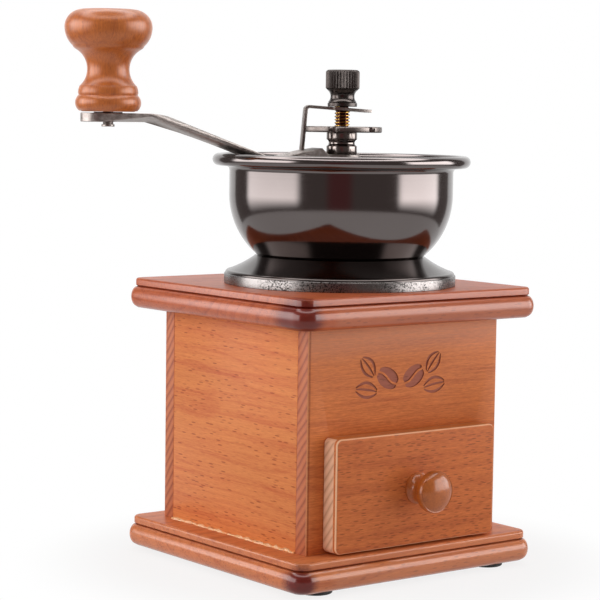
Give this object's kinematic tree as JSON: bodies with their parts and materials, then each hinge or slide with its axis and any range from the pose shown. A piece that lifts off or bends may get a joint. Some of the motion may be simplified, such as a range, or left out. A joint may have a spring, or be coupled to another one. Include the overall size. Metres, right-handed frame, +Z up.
{
  "type": "burr coffee grinder",
  "caption": "Hand-cranked burr coffee grinder: open steel hopper on a moulded wooden case, side crank with a turned knob, notched grind adjuster and a drawer for the grounds.",
  "frame": {"origin": "point of the surface that the grinder stands on that lies under the axis of the grinding shaft", "axes": "+Z up along the shaft, -Y towards the front where the drawer opens, +X to the right seen from the front; the crank rests at 160 degrees from +X"},
  "size_m": [0.1677, 0.1309, 0.2207],
  "materials": {
    "case_wood": "gloss lacquer over red-brown stain",
    "bare_wood": "bare planed wood",
    "turned_wood": "turned and lacquered",
    "foot_rubber": "matt black",
    "bright_steel": "burnished",
    "dark_nickel": "polished black nickel plate",
    "satin_nickel": "antique nickel plate",
    "burr_iron": "machined cast iron",
    "zinc_steel": "bright zinc plate",
    "yellow_zinc": "yellow zinc plate",
    "bush_brass": "turned"
  },
  "bodies": {
    "case": {"base_plate": "case_wood", "feet": "foot_rubber", "front_board": "case_wood", "back_board": "case_wood", "left_board": "case_wood", "right_board": "case_wood", "drawer_rails": "bare_wood", "top_plate": "case_wood", "base_ring": "bright_steel", "hopper_skirt": "dark_nickel", "hopper_bowl": "dark_nickel", "outer_burr": "burr_iron", "lower_guide": "burr_iron", "guide_screws": "zinc_steel", "bearing_bridge": "dark_nickel", "bridge_bush": "bush_brass", "hopper_screws": "zinc_steel"},
    "rotor": {"shaft": "yellow_zinc", "inner_burr": "burr_iron", "burr_nut": "zinc_steel", "burr_spring": "zinc_steel", "spring_cup": "zinc_steel", "thrust_washer": "zinc_steel", "crank_arm": "satin_nickel", "knob_bolt": "satin_nickel", "knob_washer": "satin_nickel", "adjusting_wheel": "satin_nickel"},
    "knob": {"crank_knob": "turned_wood"},
    "stopper": {"stopper_bracket": "satin_nickel"},
    "nut": {"lock_nut": "dark_nickel"},
    "drawer": {"drawer_front": "case_wood", "drawer_left": "bare_wood", "drawer_right": "bare_wood", "drawer_back": "bare_wood", "drawer_bottom": "bare_wood", "drawer_knob": "turned_wood", "drawer_knob_screw": "zinc_steel"}
  },
  "joints": [
    {"name": "crank_turn", "type": "hinge", "parent": "case", "child": "rotor", "pos_m": [0, 0, 0.15], "axis": [0, 0, 1], "continuous": true},
    {"name": "knob_spin", "type": "hinge", "parent": "rotor", "child": "knob", "pos_m": [-0.09021, 0.03283, 0.2], "axis": [0, 0, 1], "continuous": true},
    {"name": "stopper_lift", "type": "slide", "parent": "rotor", "child": "stopper", "axis": [0, 0, 1], "range_m": [0, 0.008]},
    {"name": "nut_turn", "type": "hinge", "parent": "stopper", "child": "nut", "pos_m": [0, 0, 0.19], "axis": [0, 0, 1], "range_deg": [0, 2160]},
    {"name": "drawer_slide", "type": "slide", "parent": "case", "child": "drawer", "axis": [0, -1, 0], "range_m": [0, 0.075]}
  ],
  "couplings": [
    {"joint": "stopper_lift", "follows": "nut_turn", "m_per_rad": 0.00020213}
  ]
}
